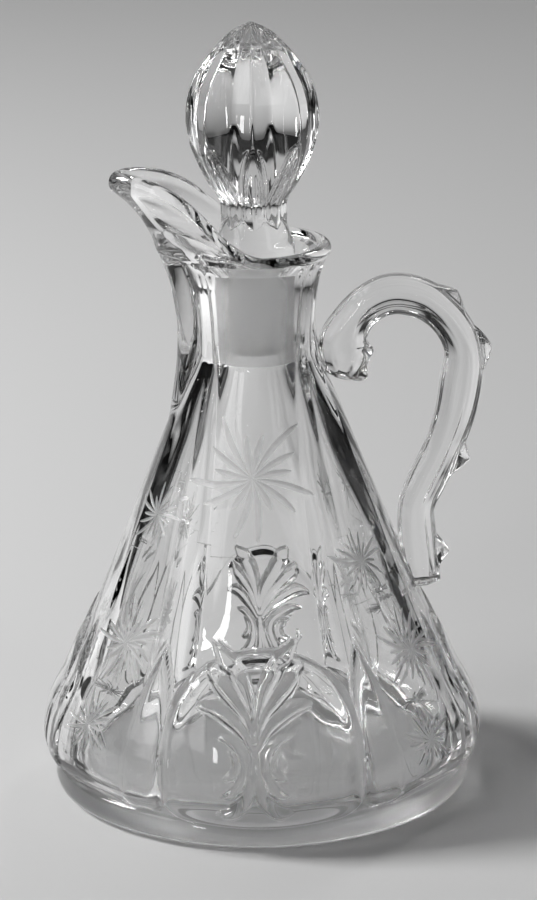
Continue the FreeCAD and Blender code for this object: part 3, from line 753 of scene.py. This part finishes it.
def unite(piece, tool):
    """Joins tool to piece as one closed surface and removes tool."""
    join = piece.modifiers.new("union", "BOOLEAN")
    join.operation, join.object, join.solver = "UNION", tool, "MANIFOLD"
    depsgraph = bpy.context.evaluated_depsgraph_get()
    mesh = bpy.data.meshes.new_from_object(piece.evaluated_get(depsgraph))
    piece.modifiers.clear()
    old = piece.data
    piece.data = mesh
    mesh.name = old.name
    bpy.data.meshes.remove(old)
    bpy.data.objects.remove(tool)


# Cut flowers: angle, height and size in mm, and a number that turns each one differently.
FLOWERS = ((-3.2, 76.0, 15.5, 0.3), (-57.5, 66.0, 8.5, 1.1), (-53.0, 39.5, 11.0, 2.0),
           (-58.0, 21.5, 8.5, 0.9), (48.0, 56.5, 8.5, 2.6), (59.0, 36.0, 10.5, 1.7),
           (53.5, 18.0, 8.0, 3.1))
FLOWERS_LOW, FLOWERS_HIGH = 8, 100                # no flower reaches further down or up, mm
FLOWER_SQUASH, FLOWER_REACH = 1.1, 1.25           # width over height, and how far a mark goes


def mark_flowers(piece):
    """Keeps at each vertex its place within the nearest flower, as shares of its size, and far
    from all of them a place outside any flower. The back has no large flower."""
    co = np.zeros(len(piece.data.vertices) * 3)
    piece.data.vertices.foreach_get("co", co)
    co = co.reshape(-1, 3) / MM
    radius, z = np.hypot(co[:, 0], co[:, 1]), co[:, 2]
    theta = np.degrees(np.arctan2(co[:, 0], -co[:, 1]))
    skin = body_radius(np.maximum(z, FOOT_HEIGHT))
    outside = (radius > skin * 0.90 - 0.6) & (radius < skin + 1.5)
    outside &= (z < FLOWERS_HIGH) & (z > FLOWERS_LOW)
    mark = np.tile([9.0, 9.0, 0.0], (len(co), 1))
    nearest = np.full(len(co), FLOWER_REACH)
    for base in (0.0, 180.0):
        for turn, height, size, seed in FLOWERS[int(base > 0):]:
            across = skin * np.radians(turn_of(theta - turn - base)) / size
            up = (z - height) * FLOWER_SQUASH / size
            away = np.hypot(across, up)
            here = outside & (away < nearest)
            mark[here] = np.stack([across[here], up[here], np.full(here.sum(), seed)], 1)
            nearest[here] = away[here]
    layer = piece.data.attributes.new("flower", "FLOAT_VECTOR", "POINT")
    layer.data.foreach_set("vector", mark.astype(np.float32).ravel())


def bottle_piece():
    """The bottle with its handle, as one closed piece with its flowers marked."""
    bottle = closed_piece("bottle_glass", bottle_grid(), CLEAR)
    unite(bottle, closed_piece("grip", handle_grid(), CLEAR))
    mark_flowers(bottle)
    return bottle


# ---- stopper ---------------------------------------------------------------------------------
def bulb_radius(z):
    """Radius of the bulb's ridges at each height: a monotone curve from the waist over the
    widest place to the tip."""
    low, high = BULB_WIDEST - WAIST_HIGH, STOPPER_TOP - BULB_WIDEST
    grow = BULB_RADIUS - WAIST_RADIUS
    return curve_at((
        (WAIST_LOW, WAIST_RADIUS), (WAIST_HIGH, WAIST_RADIUS + 0.05),
        (WAIST_HIGH + 0.28 * low, WAIST_RADIUS + 0.40 * grow),
        (WAIST_HIGH + 0.55 * low, WAIST_RADIUS + 0.74 * grow),
        (WAIST_HIGH + 0.80 * low, WAIST_RADIUS + 0.94 * grow),
        (BULB_WIDEST, BULB_RADIUS),
        (BULB_WIDEST + 0.2 * high, BULB_RADIUS * 0.975),
        (BULB_WIDEST + 0.4 * high, BULB_RADIUS * 0.885),
        (BULB_WIDEST + 0.6 * high, BULB_RADIUS * 0.70),
        (BULB_WIDEST + 0.8 * high, BULB_RADIUS * 0.46),
        (BULB_WIDEST + 0.93 * high, BULB_RADIUS * 0.24),
        (STOPPER_TIP, BULB_RADIUS * 0.05)), z)


def petal_half(z, tip, widest):
    """Half width of a petal in degrees: nothing at its tip, widest at the waist."""
    opened = np.clip((tip - z) / (tip - PETAL_LOW), 0, 1)
    return widest * opened ** PETAL_ROUND


def groove(off, size):
    """Depth of a narrow groove at a distance from its middle, both in mm."""
    depth, width = size
    return depth * np.exp(-(off / width) ** 2)


def stopper_radius(theta, z):
    """Outer radius of the stopper above its plug: eight broad facets whose ridges split into
    pointed petals, on a cone that the facets cut in scallops at the waist."""
    pitch = 360.0 / PETALS
    across = np.abs((theta + pitch / 2) % pitch - pitch / 2)
    corner = bulb_radius(np.maximum(z, WAIST_LOW))
    half = pitch / 2 - RIDGE_HALF
    chord = corner * np.cos(np.radians(half))
    middle = chord - FACET_SAG * (corner - chord)
    halves = np.full_like(z, half)
    facet = arc_radius(np.minimum(pitch / 2 - across, half), halves, corner, middle)
    facet = np.where(across <= RIDGE_HALF, corner, facet)
    width = petal_half(z, PETAL_TIP, PETAL_HALF)
    edge = arc_radius(np.clip(pitch / 2 - width, 0, half), halves, corner, middle)
    rise = PETAL_RISE * smooth(PETAL_LOW - 0.5, PETAL_LOW + 2.0, z)
    share = np.clip(across / np.maximum(width, 0.01), 0, 1)
    petal = corner + (edge + rise - corner) * share
    inner = petal_half(z, INNER_TIP, INNER_HALF)
    gap = np.abs(across - inner) * np.radians(1) * corner
    petal = petal - groove(gap, INNER_GROOVE) * smooth(0.5, 2.0, inner)
    inside = (width - across) * np.radians(1) * corner
    bulb = facet + (np.maximum(petal, facet) - facet) * smooth(0.0, PETAL_EDGE, inside)
    bulb = bulb - groove(inside, OUTER_GROOVE) * (z < PETAL_TIP)
    bulb = np.minimum(bulb, corner)
    cone = curve_at(SHANK, z)
    return np.where(z < SHANK[-1][0], np.maximum(bulb, cone), bulb)


def plug_line():
    """The ground plug from its underside up to the shank, as (radius, height): a flat end, a
    round edge, the taper of the bore and the start of the shank."""
    top, bottom = BORE_RADIUS - PLUG_GAP, PLUG_LOW + PLUG_EDGE
    low = top - BORE_TAPER * (BORE_TOP - bottom)
    line = [(r, PLUG_LOW) for r in np.linspace(0, low - PLUG_EDGE, 6)[1:]]
    line += [(low - PLUG_EDGE * (1 - np.sin(t)), bottom - PLUG_EDGE * np.cos(t))
             for t in np.linspace(0, np.pi / 2, 9)[1:]]
    line += [(low + s * (top - low), bottom + s * (BORE_TOP - bottom))
             for s in np.linspace(0, 1, 12)[1:]]
    return line + [(top - 0.1 * s, BORE_TOP + 3.0 * s) for s in np.linspace(0, 1, 7)[1:]]


def stopper_grid():
    """Bulb of pointed petals and broad facets over a ground plug."""
    columns = PETALS * 30
    theta = np.arange(columns) * 360.0 / columns
    tip_rows = STOPPER_TIP - 1.1 * (1 - np.linspace(0, 1, 7)[1:]) ** 1.5
    heights = np.concatenate([np.arange(BORE_TOP + 3.4, WAIST_HIGH, 0.34),
                              np.arange(WAIST_HIGH, STOPPER_TOP - 1.4, 0.5), tip_rows])
    z = np.repeat(heights[:, None], columns, 1)
    turns = np.repeat(theta[None], len(heights), 0)
    bulb = polar(turns, stopper_radius(turns, z), z)
    plug = np.array([polar(theta, np.full(columns, r), np.full(columns, h))
                     for r, h in plug_line()])
    grid = np.concatenate([plug, bulb])
    n = len(grid) * columns
    points = np.concatenate([grid.reshape(-1, 3), [[0, 0, PLUG_LOW], [0, 0, STOPPER_TIP]]])
    faces = ring_faces(len(grid), columns) + fan(n, list(range(columns)), False)
    return points, faces + fan(n + 1, list(range(n - columns, n)), True)


for piece, solid, slot in ((bottle_piece(), "bottle", "clear_glass"),
                           (closed_piece("stopper_glass", stopper_grid(), STOPPER_GLASS),
                            "stopper", "stopper_glass")):
    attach(piece, "root")
    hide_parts(solid)

# ---- floor, light and camera -----------------------------------------------------------------
scene = bpy.context.scene
DARK = 0.004                                      # tone of the floor and room that stay dark
FLOOR_GREY, FLOOR_PAINTED_FAR_SHADE, FLOOR_PAINTED_RIGHT_SHADE = 0.64, 0.76, 0.8   # tone, and its share far off and right: painted shade where the light falls off
FLOOR_DEPTH, FLOOR_LEFT_EDGE, FLOOR_RIGHT_EDGE = 1.8, -0.25, 0.5   # where the painted shade changes, m
SHEET_SIDE, SHEET_FRONT = (0.9, 1.0), (-0.34, -0.26)   # edges of the sheet that the glass sees, m
PAINTED_POOL_GREY, PAINTED_POOL_RADIUS = 0.97, (0.042, 0.047)   # painted pool of light on the floor right under the glass, seen in and through the glass only, m


def is_camera(tree):
    """1 for what the camera sees directly, 0 for what is seen in or through the glass."""
    return node(tree, "ShaderNodeLightPath").outputs["Is Camera Ray"]


def floor_finish():
    """Pale matt floor with painted shade: its tone falls off to the back and to the right, where
    less light falls. In and through the glass it shows on a sheet behind and beside the bottle
    only, with a painted pool of light right under it, and is dark beyond, which draws the dark
    lines in the glass."""
    material = bpy.data.materials.new("floor")
    material.use_nodes = True
    tree = material.node_tree

    def product(*values):
        """Values multiplied with each other."""
        return math_node(tree, "MULTIPLY", *values)

    shader = tree.nodes["Principled BSDF"]
    shader.inputs["Roughness"].default_value = 1.0
    shader.inputs["Specular IOR Level"].default_value = 0.0
    spot = node(tree, "ShaderNodeNewGeometry").outputs["Position"]
    x, y = node(tree, "ShaderNodeSeparateXYZ", Vector=spot).outputs[:2]
    sheet = product(ramp_between(tree, math_node(tree, "ABSOLUTE", x), *SHEET_SIDE, 1, 0),
                    ramp_between(tree, y, *SHEET_FRONT))
    seen = math_node(tree, "MAXIMUM", sheet, is_camera(tree))
    # Painted shade: the floor's tone darkens to the back and to the right, where less light falls.
    tone = product(ramp_between(tree, y, 0.0, FLOOR_DEPTH, FLOOR_GREY, FLOOR_GREY * FLOOR_PAINTED_FAR_SHADE),
                   ramp_between(tree, x, FLOOR_LEFT_EDGE, FLOOR_RIGHT_EDGE, 1.0, FLOOR_PAINTED_RIGHT_SHADE))
    away = math_node(tree, "SQRT", math_node(tree, "ADD", product(x, x), product(y, y)))
    # Painted pool of light: seen in and through the glass, the floor right under it is paler,
    # where light through the glass would gather.
    under = product(ramp_between(tree, away, *PAINTED_POOL_RADIUS, PAINTED_POOL_GREY, 0.0),
                    math_node(tree, "SUBTRACT", 1.0, is_camera(tree)))
    tone = math_node(tree, "MAXIMUM", tone, under)
    grey = node(tree, "ShaderNodeMapRange", Value=seen, To_Min=DARK, To_Max=tone).outputs[0]
    tree.links.new(grey, shader.inputs["Base Color"])
    return material


FLOOR_RADIUS, FLOOR_SIDES, FLOOR_DROP = 3000.0, 96, 0.02   # mm; the drop keeps it off the foot
turns = np.degrees(np.linspace(0, 2 * np.pi, FLOOR_SIDES + 1)[:-1])
rim = polar(180.0 - turns, np.full(FLOOR_SIDES, FLOOR_RADIUS), np.full(FLOOR_SIDES, -FLOOR_DROP))
floor = mesh_piece("floor", rim, [list(range(FLOOR_SIDES - 1, -1, -1))], floor_finish())

# What lights the glass from the room: middle and half width of the turn (0 behind the bottle,
# positive to the right, radians), low and high edge of the height, and brightness.
ROOM_BOXES = (
    (-0.16, 0.45, 0.15, 0.75, 0.42),              # the pale wall above
    (-2.1, 0.20, 0.25, 0.75, 2.8),                # window on the left
    (2.3, 0.12, 0.2, 0.7, 1.2),                   # narrow window on the right
)
TURN_SOFT, HEIGHT_SOFT = 0.06, 0.03               # soft edges of those boxes
BACKDROP = 0.5                                    # tone of the world where the camera sees it


def room():
    """World of a dark room with a pale wall and two windows, all with soft edges."""
    world = bpy.data.worlds.new("world")
    world.use_nodes = True
    tree = world.node_tree
    way = node(tree, "ShaderNodeTexCoord").outputs["Generated"]
    x, y, z = node(tree, "ShaderNodeSeparateXYZ", Vector=way).outputs
    turn = math_node(tree, "ARCTAN2", x, y)
    light = node(tree, "ShaderNodeValue").outputs[0]
    light.default_value = DARK
    for middle, half, low, high, bright in ROOM_BOXES:
        off = math_node(tree, "ABSOLUTE", math_node(tree, "SUBTRACT", turn, middle))
        part = math_node(tree, "MULTIPLY", between(tree, z, low, high, HEIGHT_SOFT),
                         ramp_between(tree, off, half - TURN_SOFT, half + TURN_SOFT, 1, 0))
        light = math_node(tree, "ADD", light, math_node(tree, "MULTIPLY", part, bright))
    strength = node(tree, "ShaderNodeMapRange", Value=is_camera(tree), To_Min=light,
                    To_Max=BACKDROP).outputs[0]
    background = tree.nodes["Background"]
    background.inputs["Color"].default_value = (1, 1, 1, 1)
    tree.links.new(strength, background.inputs["Strength"])
    return world


scene.world = room()

LAMPS = (   # name, place, what it points at, width and height, all in m, and power in W
    ("key", (-1.0, 0.15, 0.8), (0, 0.1, 0.0), (0.4, 0.4), 17),
    ("top", (-0.35, 0.35, 1.1), (0, 0.1, 0.0), (0.9, 0.7), 0.8),
    ("back", (0.45, 0.9, 0.95), (0, 0, 0.05), (0.2, 0.2), 2),
    ("front", (-0.45, -0.75, 0.30), (0, 0, 0.05), (0.1, 0.2), 0.9),
)


def area_lamp(name, place, target, size, power):
    """A rectangular lamp that points at its target."""
    lamp = bpy.data.lights.new(name, "AREA")
    lamp.shape, lamp.size, lamp.size_y, lamp.energy = "RECTANGLE", size[0], size[1], power
    holder = bpy.data.objects.new(name, lamp)
    scene.collection.objects.link(holder)
    holder.location = place
    holder.rotation_euler = (Vector(target) - Vector(place)).to_track_quat("-Z", "Y").to_euler()


for row in LAMPS:
    area_lamp(*row)

# Light goes through many walls of glass, so paths are long.
scene.cycles.max_bounces = 19
scene.cycles.transmission_bounces = 16
scene.cycles.glossy_bounces = 7
scene.cycles.sample_clamp_indirect = 0

CAMERA_PLACE = (0, -0.890, 0.345)                 # m
CAMERA_DOWN, CAMERA_ROLL = 16.82, -0.9            # degrees
CAMERA_LENS, SENSOR_WIDTH, CAMERA_SHIFT = 170.1, 36.0, 0.0122


def front_camera():
    """A long lens, a little above the object and turned a little round its own axis."""
    camera = bpy.data.cameras.new("camera")
    camera.lens, camera.sensor_width, camera.sensor_fit = CAMERA_LENS, SENSOR_WIDTH, "AUTO"
    camera.shift_x = CAMERA_SHIFT
    camera.clip_start, camera.clip_end = 0.05, 20
    view = bpy.data.objects.new("camera", camera)
    scene.collection.objects.link(view)
    view.location = CAMERA_PLACE
    view.rotation_euler = (math.radians(90 - CAMERA_DOWN), 0, 0)
    roll = Matrix.Rotation(math.radians(CAMERA_ROLL), 3, "Z")
    view.rotation_euler = (view.rotation_euler.to_matrix() @ roll).to_euler()
    return view


scene.camera = front_camera()
scene.view_settings.view_transform = "Standard"
